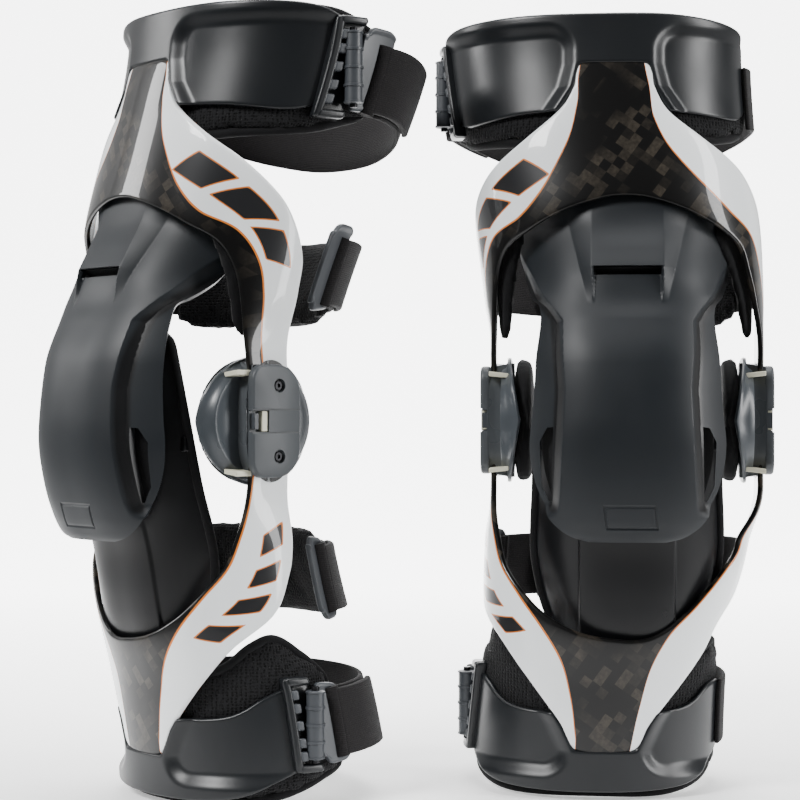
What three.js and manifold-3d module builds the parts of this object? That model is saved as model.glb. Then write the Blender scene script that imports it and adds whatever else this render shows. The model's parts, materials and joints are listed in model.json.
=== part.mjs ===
// A pair of articulated knee guards: two hinged braces, mirror images of each other.
//
// Each brace is drawn once as a left one, in its own frame: +X towards the outer side of the leg,
// -Y towards the front, +Z up, with the knee hinge's axis along X above the origin. Millimetres.

import * as THREE from 'three';
import { mergeVertices } from 'three/addons/utils/BufferGeometryUtils.js';
import Module from 'manifold-3d';

const wasm = await Module();
wasm.setup();

// ---------------------------------------------------------------- driving dimensions

const HINGE_Z = 202; // height of the knee's middle
const PIVOT_RISE = 20; // each pivot lies this far above or below the knee's middle
const PIN_RADIUS = 5;
const FIT_GAP = 0.3; // clearance between pieces that touch
const ARM_RADIUS = 12.5; // rounded end of a side arm

const ARM_FACE = { inner: 70.4, outer: 74 }; // both faces of an arm where it enters the hinge
const COVER = { width: 32, height: 59, inner: 74.3, outer: 79.3, corner: 11 };
const LINK = { radius: 11, inner: 66.8, outer: 70.1 };
const STOP = { front: -15, back: -4.5, height: 10 };
const PAD_RADIUS = 37;

const FRAME_SKIN = { inner: 0.4, outer: 4.4 }; // offsets from the leg surface
const CUFF_SKIN = { inner: -3, outer: 0 };
const LINER_SKIN = { inner: -9, outer: -4 };
const STRAP_SKIN = { inner: 0.6, outer: 3.2 };
const CLIP_SKIN = { inner: 1, outer: 4.2 };

const STRAP_WIDTH = 38;
const CLIP_BARREL = 4.5;
const CLIP_AXIS_OFFSET = 5; // the barrel's axis lies this far outside the leg
const CUP_THICKNESS = 3;
const PLATE_THICKNESS = 2.6;

const LEFT_PLACE = { x: -118, turn: -47 }; // where the two braces stand, and how far they turn
const RIGHT_PLACE = { x: 124, turn: -5.5 };

// Leg surface, bottom to top: height, centre (x, y), half width and half depth of each section.
const SECTION_POWER = 2.2;
const LEG = [
  [-5, 19.5, 33, 70, 66],
  [60, 15, 25, 67.5, 61],
  [95, 11, 16, 66, 58.5],
  [130, 6, 9, 68, 57],
  [165, 2, 3, 70, 58],
  [202, 0, 0, 70.3, 60],
  [240, 0, 4, 71, 63],
  [300, 4, 20, 75, 67],
  [350, 11, 35, 81, 71],
  [396, 16, 47, 84, 74],
  [435, 18, 51, 86, 74],
];

// Knee cup and shin plate, top to bottom: height, half width, front y and side edge y.
const CUP_ROWS = [
  [324, 44, -39, -23],
  [307, 58, -45, -15.5],
  [292, 62.5, -53.5, -11.5],
  [280, 61, -60, -20],
  [268, 54, -64, -42],
  [256, 51, -69, -48],
  [229, 51.5, -76, -53],
  [206, 53, -79, -54],
  [190, 54.5, -79, -54],
  [176, 53, -77, -54],
  [162, 48.5, -73.5, -54.5],
  [150, 39, -69, -55],
  [139, 23, -62, -56],
];
const PLATE_ROWS = [
  [248, 41, -58, -42],
  [228, 45, -63, -40],
  [202, 48, -65, -36],
  [165, 49, -56, -28],
  [147, 50, -50, -23],
  [130, 50, -45.5, -19],
  [108, 46, -42, -17],
  [94, 41, -39.5, -19.5],
  [82, 37, -36.2, -18],
];

// ---------------------------------------------------------------- solids

function degrees(angle) {
  return THREE.MathUtils.degToRad(angle);
}

// Smooth interpolation of a table whose first column rises or falls steadily.
function tableAt(table, key) {
  const rising = table[1][0] > table[0][0];
  const last = table.length - 2;
  let i = 0;
  while (i < last && (rising ? key > table[i + 1][0] : key < table[i + 1][0])) i += 1;
  const before = table[Math.max(i - 1, 0)];
  const from = table[i];
  const to = table[i + 1];
  const after = table[Math.min(i + 2, table.length - 1)];
  const span = to[0] - from[0];
  const t = (key - from[0]) / span;
  return from.slice(1).map((value, k) => {
    const startSlope = ((to[k + 1] - before[k + 1]) / (to[0] - before[0])) * span;
    const endSlope = ((after[k + 1] - value) / (after[0] - from[0])) * span;
    const rise = to[k + 1] - value;
    return value + startSlope * t + (3 * rise - 2 * startSlope - endSlope) * t * t
      + (startSlope + endSlope - 2 * rise) * t * t * t;
  });
}

function geometryFrom(vertices, triangles) {
  const geometry = new THREE.BufferGeometry();
  geometry.setAttribute('position', new THREE.Float32BufferAttribute(vertices, 3));
  geometry.setIndex(triangles);
  return geometry;
}

function signedVolume(points, triangles) {
  let volume = 0;
  for (let i = 0; i < triangles.length; i += 3) {
    const [a, b, c] = [points[triangles[i]], points[triangles[i + 1]], points[triangles[i + 2]]];
    volume += a.dot(b.clone().cross(c)) / 6;
  }
  return volume;
}

// A closed plate: pointAt(s, t, skin) gives its inner face (skin 0) and its outer face (skin 1).
function closedPlate(pointAt, columns, rows) {
  const points = [];
  for (const skin of [0, 1]) {
    for (let j = 0; j <= rows; j += 1) {
      for (let i = 0; i <= columns; i += 1) points.push(pointAt(i / columns, j / rows, skin));
    }
  }
  const id = (i, j, skin) => skin * (rows + 1) * (columns + 1) + j * (columns + 1) + i;
  const triangles = [];
  const quad = (a, b, c, d) => triangles.push(a, b, c, a, c, d);
  for (let j = 0; j < rows; j += 1) {
    for (let i = 0; i < columns; i += 1) {
      quad(id(i, j, 1), id(i + 1, j, 1), id(i + 1, j + 1, 1), id(i, j + 1, 1));
      quad(id(i, j, 0), id(i, j + 1, 0), id(i + 1, j + 1, 0), id(i + 1, j, 0));
    }
  }
  for (let i = 0; i < columns; i += 1) {
    quad(id(i, 0, 0), id(i + 1, 0, 0), id(i + 1, 0, 1), id(i, 0, 1));
    quad(id(i, rows, 0), id(i, rows, 1), id(i + 1, rows, 1), id(i + 1, rows, 0));
  }
  for (let j = 0; j < rows; j += 1) {
    quad(id(0, j, 0), id(0, j, 1), id(0, j + 1, 1), id(0, j + 1, 0));
    quad(id(columns, j, 0), id(columns, j + 1, 0), id(columns, j + 1, 1), id(columns, j, 1));
  }
  if (signedVolume(points, triangles) < 0) triangles.reverse();
  return geometryFrom(points.flatMap((p) => p.toArray()), triangles);
}

function toSolid(geometry) {
  const bare = geometry.clone();
  bare.deleteAttribute('normal');
  bare.deleteAttribute('uv');
  const merged = mergeVertices(bare, 1e-3);
  return new wasm.Manifold(new wasm.Mesh({
    numProp: 3,
    vertProperties: new Float32Array(merged.attributes.position.array),
    triVerts: new Uint32Array(merged.index.array),
  }));
}

function fromSolid(solid) {
  const mesh = solid.getMesh();
  const stride = mesh.numProp;
  const vertices = [];
  for (let i = 0; i < mesh.vertProperties.length; i += stride) {
    vertices.push(...mesh.vertProperties.slice(i, i + 3));
  }
  return geometryFrom(vertices, Array.from(mesh.triVerts));
}

function joined(geometries) {
  return fromSolid(geometries.map(toSolid).reduce((whole, piece) => whole.add(piece)));
}

function cut(geometry, tools) {
  return fromSolid(tools.map(toSolid).reduce((whole, tool) => whole.subtract(tool), toSolid(geometry)));
}

// A solid drawn in the Y-Z plane and extruded along X, from x = inner to x = outer on one side.
function sidePlate(shape, side, inner, outer, bevel = 0) {
  const geometry = new THREE.ExtrudeGeometry(shape, {
    depth: outer - inner - 2 * bevel,
    bevelEnabled: bevel > 0,
    bevelThickness: bevel,
    bevelSize: bevel,
    bevelOffset: -bevel,
    bevelSegments: 1,
    curveSegments: 5,
  });
  geometry.rotateY(Math.PI / 2);
  geometry.rotateX(Math.PI / 2);
  geometry.translate(inner + bevel, 0, 0);
  return side > 0 ? geometry : mirrored(geometry);
}

// A copy mirrored in the X = 0 plane, with its faces turned outwards again.
function mirrored(geometry) {
  const copy = (geometry.index ? geometry.toNonIndexed() : geometry.clone());
  copy.scale(-1, 1, 1);
  const position = copy.attributes.position;
  for (let i = 0; i < position.count; i += 3) {
    const held = [position.getX(i), position.getY(i), position.getZ(i)];
    position.setXYZ(i, position.getX(i + 1), position.getY(i + 1), position.getZ(i + 1));
    position.setXYZ(i + 1, ...held);
  }
  return copy;
}

// A cylinder along X, centred on (y, z).
function crossPin(side, radius, inner, outer, y, z, sides = 14) {
  const pin = new THREE.CylinderGeometry(radius, radius, outer - inner, sides);
  pin.rotateZ(Math.PI / 2);
  pin.translate(((inner + outer) / 2) * side, y, z);
  return pin;
}

// ---------------------------------------------------------------- the leg surface

function legPoint(angle, z, offset) {
  const [cx, cy, halfWidth, halfDepth] = tableAt(LEG, z);
  const curve = (v) => Math.sign(v) * Math.abs(v) ** (2 / SECTION_POWER);
  const across = curve(Math.sin(angle));
  const along = curve(Math.cos(angle));
  const power = SECTION_POWER - 1;
  const normal = new THREE.Vector2(
    Math.sign(across) * Math.abs(across) ** power / halfWidth,
    -Math.sign(along) * Math.abs(along) ** power / halfDepth,
  ).normalize();
  return new THREE.Vector3(
    cx + halfWidth * across + normal.x * offset,
    cy - halfDepth * along + normal.y * offset,
    z,
  );
}

// Edge points on the leg surface as (angle, z): given by x on the front, or by y on one side.
function front(x, z) {
  const [cx, , halfWidth] = tableAt(LEG, z);
  const share = THREE.MathUtils.clamp((x - cx) / halfWidth, -1, 1);
  return new THREE.Vector3(Math.asin(Math.sign(share) * Math.abs(share) ** (SECTION_POWER / 2)), z, 0);
}

function flank(side, y, z) {
  const [, cy, , halfDepth] = tableAt(LEG, z);
  const share = (cy - y) / halfDepth;
  return new THREE.Vector3(side * Math.acos(Math.sign(share) * Math.abs(share) ** (SECTION_POWER / 2)), z, 0);
}

// A strip of the leg surface between two edges, each a list of (angle, z) points.
function legStrip(edgeA, edgeB, skin, columns, rows, shape = legPoint) {
  const curveA = new THREE.CatmullRomCurve3(edgeA);
  const curveB = new THREE.CatmullRomCurve3(edgeB);
  return closedPlate((s, t, face) => {
    const at = curveA.getPoint(s).lerp(curveB.getPoint(s), t);
    return shape(at.x, at.y, face ? skin.outer : skin.inner);
  }, columns, rows);
}

// Near the hinge the arms flatten into planes that are square to the hinge's axis.
function framePoint(angle, z, offset) {
  const point = legPoint(angle, z, offset);
  const flat = 1 - THREE.MathUtils.smoothstep(Math.abs(z - HINGE_Z), PIVOT_RISE + 14, PIVOT_RISE + 46);
  const share = (offset - FRAME_SKIN.inner) / (FRAME_SKIN.outer - FRAME_SKIN.inner);
  const plane = THREE.MathUtils.lerp(ARM_FACE.inner, ARM_FACE.outer, share);
  point.x = THREE.MathUtils.lerp(point.x, Math.sign(point.x) * plane, flat);
  return point;
}

// ---------------------------------------------------------------- frames

function frameWithArms(edgeA, edgeB, pivotZ) {
  const pieces = [legStrip(edgeA, edgeB, FRAME_SKIN, 46, 3, framePoint)];
  const holes = [];
  for (const side of [1, -1]) {
    pieces.push(crossPin(side, ARM_RADIUS, ARM_FACE.inner, ARM_FACE.outer, 0, pivotZ, 20));
    holes.push(crossPin(side, PIN_RADIUS + FIT_GAP, ARM_FACE.inner - 5, ARM_FACE.outer + 5, 0, pivotZ));
  }
  return cut(joined(pieces), holes);
}

function thighFrame() {
  const rear = [
    flank(1, 12.5, 222), flank(1, 12, 243), flank(1, 16, 270), flank(1, 16, 292), flank(1, 5, 314),
    front(74, 334), front(55, 352), front(36, 368), front(28, 381), front(25, 393),
    front(7, 394.5),
    front(-11, 393), front(-14, 381), front(-22, 367), front(-40, 353), front(-60, 336),
    flank(-1, 8, 314), flank(-1, 15, 292), flank(-1, 16, 270), flank(-1, 12, 243), flank(-1, 12.5, 222),
  ];
  const inner = [
    flank(1, -12.5, 222), flank(1, -15.5, 243), flank(1, -17, 266), flank(1, -20, 282), front(62, 295),
    front(50, 304), front(38, 311), front(26, 316), front(16, 319), front(9, 320.5),
    front(1, 321),
    front(-7, 320.5), front(-14, 319), front(-24, 316), front(-36, 311), front(-48, 304),
    front(-58, 295), flank(-1, -20, 282), flank(-1, -17, 266), flank(-1, -15.5, 243), flank(-1, -12.5, 222),
  ];
  return frameWithArms(rear, inner, HINGE_Z + PIVOT_RISE);
}

function shinFrame() {
  const rear = [
    flank(1, 12.5, 182), flank(1, 12, 162), flank(1, 13, 140), flank(1, 9, 119), flank(1, 0, 101),
    front(66, 84), front(55, 68), front(44, 53), front(35, 40), front(28, 27),
    front(12, 24.5),
    front(-4, 27), front(-10, 38), front(-19, 50), front(-29, 63), front(-39, 78),
    front(-47, 94), flank(-1, 6, 116), flank(-1, 12, 140), flank(-1, 12, 162), flank(-1, 12.5, 182),
  ];
  const inner = [
    flank(1, -12.5, 182), flank(1, -14.5, 162), flank(1, -19, 142), front(64, 126), front(56, 113),
    front(46, 102), front(36, 95), front(25, 90), front(14, 87.5), front(5, 86.5),
    front(-2, 86),
    front(-10, 87), front(-17, 90), front(-24, 95), front(-33, 103), front(-42, 113),
    front(-50, 123), front(-56, 132), flank(-1, -19, 144), flank(-1, -14.5, 162), flank(-1, -12.5, 182),
  ];
  return frameWithArms(rear, inner, HINGE_Z - PIVOT_RISE);
}

// ---------------------------------------------------------------- cuffs, liners and straps

function band(points, skin, columns, rows) {
  const upper = points.map(([angle, , top]) => new THREE.Vector3(degrees(angle), top, 0));
  const lower = points.map(([angle, bottom]) => new THREE.Vector3(degrees(angle), bottom, 0));
  return legStrip(upper, lower, skin, columns, rows);
}

function strap(from, to, heightAt) {
  const points = [];
  const steps = 8;
  for (let i = 0; i <= steps; i += 1) {
    const angle = from + ((to - from) * i) / steps;
    const middle = heightAt(angle);
    points.push([angle, middle - STRAP_WIDTH / 2, middle + STRAP_WIDTH / 2]);
  }
  return band(points, STRAP_SKIN, 22, 1);
}

const thighCuff = () => band([
  [-72, 372, 409], [-60, 366, 417], [-30, 367, 421], [0, 368, 421],
  [30, 367, 421], [60, 364, 419], [76, 368, 413],
], CUFF_SKIN, 22, 2);

const thighLiner = () => band([
  [-92, 368, 402], [-75, 357, 417], [-40, 350, 420.5], [0, 348, 421],
  [40, 350, 420.5], [75, 353, 419], [98, 362, 406],
], LINER_SKIN, 22, 2);

const shinCuff = () => band([
  [-74, 22, 60], [-60, 15, 58], [-40, 6, 48], [0, 4, 46],
  [40, 6, 48], [62, 14, 58], [78, 20, 64],
], CUFF_SKIN, 22, 2);

const shinLiner = () => band([
  [-98, 16, 60], [-78, 8, 84], [-40, 0, 72], [0, 0, 66],
  [40, 0, 74], [62, 3, 86], [80, 8, 89], [100, 17, 68],
], LINER_SKIN, 22, 2);

const upperThighStrapZ = (angle) => 373 - 9 * Math.cos(2 * degrees(angle - 180));
const lowerThighStrapZ = (angle) => 283 - 4 * Math.cos(degrees(angle - 180));
const upperCalfStrapZ = () => 118;
const lowerCalfStrapZ = (angle) => 43 + 3 * Math.cos(degrees(angle - 180));

// A loop plate that carries a strap's end, between two angles at one height.
function loopPlate(from, to, middle, height) {
  const points = [from, (from + to) / 2, to].map((angle) => [angle, middle - height / 2, middle + height / 2]);
  return band(points, CLIP_SKIN, 6, 2);
}

// A clip that turns on a ribbed barrel: the barrel lies against the end of the cuff.
function barrelClip(barrelAngle, plateEnd, middle, height) {
  const barrel = new THREE.CylinderGeometry(CLIP_BARREL, CLIP_BARREL, height - 6, 16);
  barrel.rotateX(Math.PI / 2);
  const centre = legPoint(degrees(barrelAngle), middle, CLIP_AXIS_OFFSET);
  barrel.translate(centre.x, centre.y, centre.z);
  return joined([barrel, loopPlate(barrelAngle + 2, plateEnd, middle, height)]);
}

// ---------------------------------------------------------------- cup and plate

function bowl(rows, thickness, crown, columns, steps) {
  const top = rows[0][0];
  const bottom = rows[rows.length - 1][0];
  return closedPlate((s, t, face) => {
    const z = THREE.MathUtils.lerp(top, bottom, t);
    const [halfWidth, frontY, edgeY] = tableAt(rows, z);
    const across = 2 * s - 1;
    const inset = face ? 0 : thickness;
    const x = across * (halfWidth - inset);
    const y = frontY + (edgeY - frontY) * Math.abs(across) ** crown + inset * (1 - Math.abs(across) ** 6);
    return new THREE.Vector3(x, y, z);
  }, columns, steps);
}

// ---------------------------------------------------------------- hinges

function hingeCover(side) {
  const { width, height, corner } = COVER;
  const shape = new THREE.Shape();
  const w = width / 2;
  const h = height / 2;
  shape.moveTo(w, h - corner);
  shape.absarc(w - corner, h - corner, corner, 0, Math.PI / 2);
  shape.absarc(corner - w, h - corner, corner, Math.PI / 2, Math.PI);
  shape.absarc(corner - w, corner - h, corner, Math.PI, 1.5 * Math.PI);
  shape.absarc(w - corner, corner - h, corner, 1.5 * Math.PI, 2 * Math.PI);
  const cover = sidePlate(shape, side, COVER.inner, COVER.outer, 1.2);
  cover.translate(0, 0, HINGE_Z);
  return cover;
}

function hingeLink(side) {
  const shape = new THREE.Shape();
  shape.absarc(0, PIVOT_RISE, LINK.radius, 0, Math.PI);
  shape.absarc(0, -PIVOT_RISE, LINK.radius, Math.PI, 2 * Math.PI);
  for (const z of [PIVOT_RISE, -PIVOT_RISE]) {
    const hole = new THREE.Path();
    hole.absarc(0, z, PIN_RADIUS + FIT_GAP, 0, 2 * Math.PI, true);
    shape.holes.push(hole);
  }
  const link = sidePlate(shape, side, LINK.inner, LINK.outer);
  link.translate(0, 0, HINGE_Z);
  return link;
}

function pivotPin(side, rise) {
  return crossPin(side, PIN_RADIUS, LINK.inner, ARM_FACE.outer, 0, HINGE_Z + rise);
}

function stopInsert(side) {
  const shape = new THREE.Shape();
  const half = STOP.height / 2;
  shape.moveTo(STOP.front, -half);
  shape.lineTo(STOP.back - 3, -half);
  shape.lineTo(STOP.back, 0);
  shape.lineTo(STOP.back - 3, half);
  shape.lineTo(STOP.front, half);
  const insert = sidePlate(shape, side, ARM_FACE.inner, ARM_FACE.outer);
  insert.translate(0, 0, HINGE_Z);
  return insert;
}

// A solid of revolution about the hinge's axis; the profile is a list of (radius, x).
function disc(side, profile) {
  const points = profile.map(([radius, x]) => new THREE.Vector2(radius, x));
  const solid = new THREE.LatheGeometry(points, 22);
  solid.rotateZ(-Math.PI / 2);
  solid.translate(0, 0, HINGE_Z);
  return side > 0 ? solid : mirrored(solid);
}

const padShell = (side) => disc(side, [
  [0, 59], [20, 59], [PAD_RADIUS - 3, 56.6], [PAD_RADIUS, 57.4], [PAD_RADIUS - 2, 60],
  [26, 64], [15, 66.5], [0, 66.5],
]);

const kneePad = (side) => disc(side, [
  [0, 51.5], [PAD_RADIUS - 7, 51], [PAD_RADIUS - 1, 53], [PAD_RADIUS - 1, 55.4],
  [PAD_RADIUS - 3, 56], [20, 58.4], [0, 58.4],
]);

// ---------------------------------------------------------------- one brace

const FINISH = {
  carbon: { color: 0x1c1b1a, roughness: 0.25, metalness: 0 },
  cuff: { color: 0x35383d, roughness: 0.45, metalness: 0 },
  cup: { color: 0x3d4247, roughness: 0.55, metalness: 0 },
  plate: { color: 0x1e1f22, roughness: 0.3, metalness: 0 },
  cover: { color: 0x8b9094, roughness: 0.45, metalness: 0 },
  shell: { color: 0x5b646c, roughness: 0.45, metalness: 0 },
  clip: { color: 0x6a7078, roughness: 0.5, metalness: 0 },
  steel: { color: 0xb8bcc0, roughness: 0.3, metalness: 1 },
  insert: { color: 0xe0dfc8, roughness: 0.5, metalness: 0 },
  strap: { color: 0x2b2829, roughness: 0.9, metalness: 0 },
  liner: { color: 0x151517, roughness: 0.95, metalness: 0 },
};

function hingePieces(name, side) {
  return [
    [`${name}_hinge_cover`, hingeCover(side), 'cover'],
    [`${name}_hinge_link`, hingeLink(side), 'steel'],
    [`${name}_upper_pivot`, pivotPin(side, PIVOT_RISE), 'steel'],
    [`${name}_lower_pivot`, pivotPin(side, -PIVOT_RISE), 'steel'],
    [`${name}_stop_insert`, stopInsert(side), 'insert'],
    [`${name}_pad_shell`, padShell(side), 'shell'],
    [`${name}_knee_pad`, kneePad(side), 'liner'],
  ];
}

function bracePieces() {
  return [
    ['thigh_frame', thighFrame(), 'carbon'],
    ['thigh_cuff', thighCuff(), 'cuff'],
    ['thigh_liner', thighLiner(), 'liner'],
    ['upper_thigh_strap', strap(104, 290, upperThighStrapZ), 'strap'],
    ['upper_thigh_clip', barrelClip(82, 101, 387, 44), 'clip'],
    ['lower_thigh_strap', strap(122, 262, lowerThighStrapZ), 'strap'],
    ['lower_thigh_clip', loopPlate(101, 119, 284, 46), 'clip'],
    ['knee_cup', bowl(CUP_ROWS, CUP_THICKNESS, 3, 10, 11), 'cup'],
    ['shin_plate', bowl(PLATE_ROWS, PLATE_THICKNESS, 3, 10, 7), 'plate'],
    ['shin_frame', shinFrame(), 'carbon'],
    ['shin_cuff', shinCuff(), 'cuff'],
    ['shin_liner', shinLiner(), 'liner'],
    ['upper_calf_strap', strap(122, 262, upperCalfStrapZ), 'strap'],
    ['upper_calf_clip', loopPlate(104, 119, 118, 44), 'clip'],
    ['lower_calf_strap', strap(106, 290, lowerCalfStrapZ), 'strap'],
    ['lower_calf_clip', barrelClip(83, 103, 43, 42), 'clip'],
    ...hingePieces('outer', 1),
    ...hingePieces('inner', -1),
  ];
}

function brace(prefix, mirror, place) {
  const group = new THREE.Group();
  for (const [name, geometry, finish] of bracePieces()) {
    const mesh = new THREE.Mesh(geometry, new THREE.MeshStandardMaterial(FINISH[finish]));
    mesh.name = `${prefix}_${name}`;
    group.add(mesh);
  }
  group.scale.x = mirror ? -1 : 1;
  group.rotation.z = degrees(place.turn);
  group.position.x = place.x;
  return group;
}

// Both braces stand side by side; the pair's footprint is centred on the origin.
function pairOfGuards() {
  const pair = new THREE.Group();
  pair.add(brace('left', false, LEFT_PLACE), brace('right', true, RIGHT_PLACE));
  pair.updateMatrixWorld(true);
  const box = new THREE.Box3().setFromObject(pair, true);
  const middle = box.getCenter(new THREE.Vector3());
  pair.position.set(-middle.x, -middle.y, -box.min.z);
  pair.updateMatrixWorld(true);
  return pair;
}

export default pairOfGuards();
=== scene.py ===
"""A pair of articulated knee guards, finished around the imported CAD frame.

Each guard is drawn once as a left one, in millimetres: +X to the outer side of the leg, -Y to the front,
+Z up, with the knee's axis along X above the origin. place_on() turns a shape into both guards' pieces.
"""

import json
import math
from collections import namedtuple

import bpy
import numpy as np
from mathutils import Matrix, Vector


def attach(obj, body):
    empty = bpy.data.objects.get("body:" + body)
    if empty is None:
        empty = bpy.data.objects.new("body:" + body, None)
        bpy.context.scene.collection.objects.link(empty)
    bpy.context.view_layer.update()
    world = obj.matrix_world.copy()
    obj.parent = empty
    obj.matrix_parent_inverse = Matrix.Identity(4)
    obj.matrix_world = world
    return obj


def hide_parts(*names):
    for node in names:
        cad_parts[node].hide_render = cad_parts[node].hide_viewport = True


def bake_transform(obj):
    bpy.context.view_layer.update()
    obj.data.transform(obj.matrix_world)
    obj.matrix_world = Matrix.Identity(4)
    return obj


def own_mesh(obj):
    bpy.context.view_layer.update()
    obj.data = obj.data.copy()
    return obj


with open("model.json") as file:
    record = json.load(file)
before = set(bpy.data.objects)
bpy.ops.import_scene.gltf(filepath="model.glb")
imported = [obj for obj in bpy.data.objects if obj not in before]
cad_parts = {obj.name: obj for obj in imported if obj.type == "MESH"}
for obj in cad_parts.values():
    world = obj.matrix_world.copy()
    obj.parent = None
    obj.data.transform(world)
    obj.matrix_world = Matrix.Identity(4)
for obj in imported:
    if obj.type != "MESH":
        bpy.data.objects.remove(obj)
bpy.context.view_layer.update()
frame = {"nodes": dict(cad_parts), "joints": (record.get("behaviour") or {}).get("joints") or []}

# ------------------------------ driving dimensions, in millimetres

MM = 0.001
HINGE_Z = 202
PIVOT_RISE = 20  # how far the pivots lie above and below the middle of the hinge
ARM_FACE = (70.4, 74.0)  # inner and outer face of the arms at the hinge
STRAP_WIDTH = 36
SECTION_POWER = 2.2  # the leg's sections are superellipses of this power
SIDES = ("left", "right")
SIM_FRAMES = 14  # length of the cloth simulation that puffs the soft pieces

# Inner and outer face of a piece, as offsets from the leg surface.
FRAME_SKIN = (0.4, 4.4)
CUFF_SKIN = (-3.0, 0.4)
LINER_SKIN = (-9.0, -3.4)
STRAP_SKIN = (0.6, 3.2)
RETURN_SKIN = (4.4, 7.6)
LOOP_SKIN = (1.0, 4.0)
BACK_PAD_SKIN = (-7.5, -0.4)
TAB_SKIN = (-6.5, -2.6)

# Leg surface, bottom to top: height, centre (x, y), half width and half depth of each section.
LEG = np.array([
    (-5, 19.5, 33, 70, 66), (60, 15, 25, 67.5, 61), (95, 11, 16, 66, 58.5), (130, 6, 9, 68, 57),
    (165, 2, 3, 70, 58), (202, 0, 0, 70.3, 60), (240, 0, 4, 71, 63), (300, 4, 20, 75, 67),
    (350, 11, 35, 81, 71), (396, 16, 47, 84, 74), (435, 18, 51, 86, 74),
], float)

# Knee cup and shin plate, bottom to top: height, half width, front y and side edge y.
CUP_ROWS = np.array([
    (139, 20, -63.5, -61), (141, 28, -65, -60.5), (145, 35, -67, -59.6), (151, 41, -69.8, -58.4),
    (162, 48.5, -73.5, -56), (176, 53, -77, -54), (190, 54.5, -79, -54), (206, 53, -79, -54),
    (229, 51.5, -76, -53), (256, 51, -69, -48), (268, 54, -64, -42), (280, 61, -60, -20),
    (292, 62.5, -53.5, -11.5), (307, 58, -45, -15.5), (324, 44, -39, -23),
], float)
PLATE_ROWS = np.array([
    (82, 37, -36.2, -18), (94, 41, -39.5, -19.5), (108, 46, -42, -17), (130, 50, -45.5, -19),
    (147, 50, -50, -23), (165, 49, -56, -28), (202, 48, -65, -36), (228, 45, -63, -40), (248, 41, -58, -42),
], float)
CUP_WALL = 2.6
PLATE_WALL = 2.4
PLATE_CREASE = 24.5  # half width of the shin plate's raised middle

# Half width of the cup's raised middle at each height, its rise and the width of the sloping face beside it.
CREST = np.array([(150, 37), (160, 35.2), (219, 32.3), (255, 35), (266, 44), (288, 58), (300, 64)], float)
CREST_DROP = 4.0
CREST_FACE = 6.2
HOOD_EDGE = 283  # bottom of the raised hood, with the air slot under it
HOOD_FOOT = 265
HOOD_TOP = 318
HOOD_HALF = 19
HOOD_DROP = 4.0
# Corners (x, z) of the vent on one side of the cup.
VENT = [(39.6, 160), (41.0, 160), (44.8, 168), (45.8, 191), (42.0, 198.5), (38.6, 199)]
LINING_DEPTH = 3.2  # from the cup's outer face to the foam behind it

# Cuffs and liners from the inner to the outer side: degrees from the front, bottom and top.
THIGH_CUFF = [(-72, 372, 409), (-60, 366, 417), (-30, 367, 421), (0, 368, 421),
              (30, 367, 421), (60, 364, 419), (76, 368, 413)]
THIGH_LINER = [(-92, 368, 402), (-75, 357, 417), (-40, 350, 420.5), (0, 348, 421),
               (40, 350, 420.5), (75, 353, 419), (98, 362, 406)]
SHIN_CUFF = [(-74, 22, 60), (-60, 15, 58), (-40, 6, 48), (0, 4, 46),
             (40, 6, 48), (62, 14, 58), (78, 20, 64)]
SHIN_LINER = [(-98, 16, 60), (-78, 8, 84), (-40, 0, 72), (0, 0, 66),
              (40, 0, 74), (62, 3, 86), (80, 8, 89), (100, 17, 68)]
CUFF_RAISE = 3.8  # the bridge stands this far above the wing panels, flush with the frame
CUFF_PANEL_TOP = 417
CUFF_PANEL_BOTTOM = 10

# Where the frame's tongue lies on each cuff: middle x, then half width at three heights, tongue's end first.
THIGH_TONGUE = (7, (393.5, 381, 367), (18, 21, 30))
SHIN_TONGUE = (12, (26, 40, 53), (16, 22.5, 31))

# Plain slanted bars on the outer arms: centre and half length along the arm.
THIGH_MARKS = [(60, 9), (82, 9), (104, 9)]
SHIN_MARKS = [(34, 5), (50, 5), (66, 5), (82, 5)]
MARK_SPAN = (0.2, 0.56)  # how far across the arm a bar reaches
MARK_SLANT = 0.5

# A strap's middle line lies at height + swing * cos(waves * angle from the back). Its slot, its stop and the
# two ends of its clip are in degrees from the front. The last name is the clip's own body, if it swings.
Strap = namedtuple("Strap", "height swing waves slot stop clip_start clip_stop clip_height clip_middle "
                            "body clip")
STRAPS = {
    "upper_thigh": Strap(373, -9, 2, 93.5, 290, 84, 98, 44, 387, "thigh", "thigh_clip"),
    "lower_thigh": Strap(283, -4, 1, 112, 262, 101, 117, 46, 284, "thigh", None),
    "upper_calf": Strap(118, 0, 1, 113, 262, 104, 118, 44, 118, "shin", None),
    "lower_calf": Strap(43, 3, 1, 94.5, 290, 85, 99, 42, 43, "shin", "calf_clip"),
}
STRAP_DIP = 3.2  # how far a strap sinks to pass under its clip
FOLD = 36  # the strap turned back through its clip reaches this many degrees
BARREL_OFFSET = 4.6  # a clip's barrel and pin lie this far from the leg surface
SEAT_HEIGHTS = {"upper_thigh": 50, "lower_calf": 46}  # recesses that hold the swinging clips
BACK_PAD = [(140, 19), (160, 25), (192, 26), (224, 25), (244, 19)]  # degrees from the front, half height
# The soft tab beside the cup, front to back: degrees from the front, bottom and top.
ARM_TAB = [(44, 300, 308), (54, 284, 306), (62, 268, 304), (70, 250, 298), (78, 246, 296), (84, 252, 292)]

COVER_FACE = (74.3, 79.3)  # inner and outer face of a hinge cover
BAND_HALF = 6  # the window and the band across the cover
SCREWS = (18.5, -18.5)
SCREW_Y = 1.5

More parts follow.
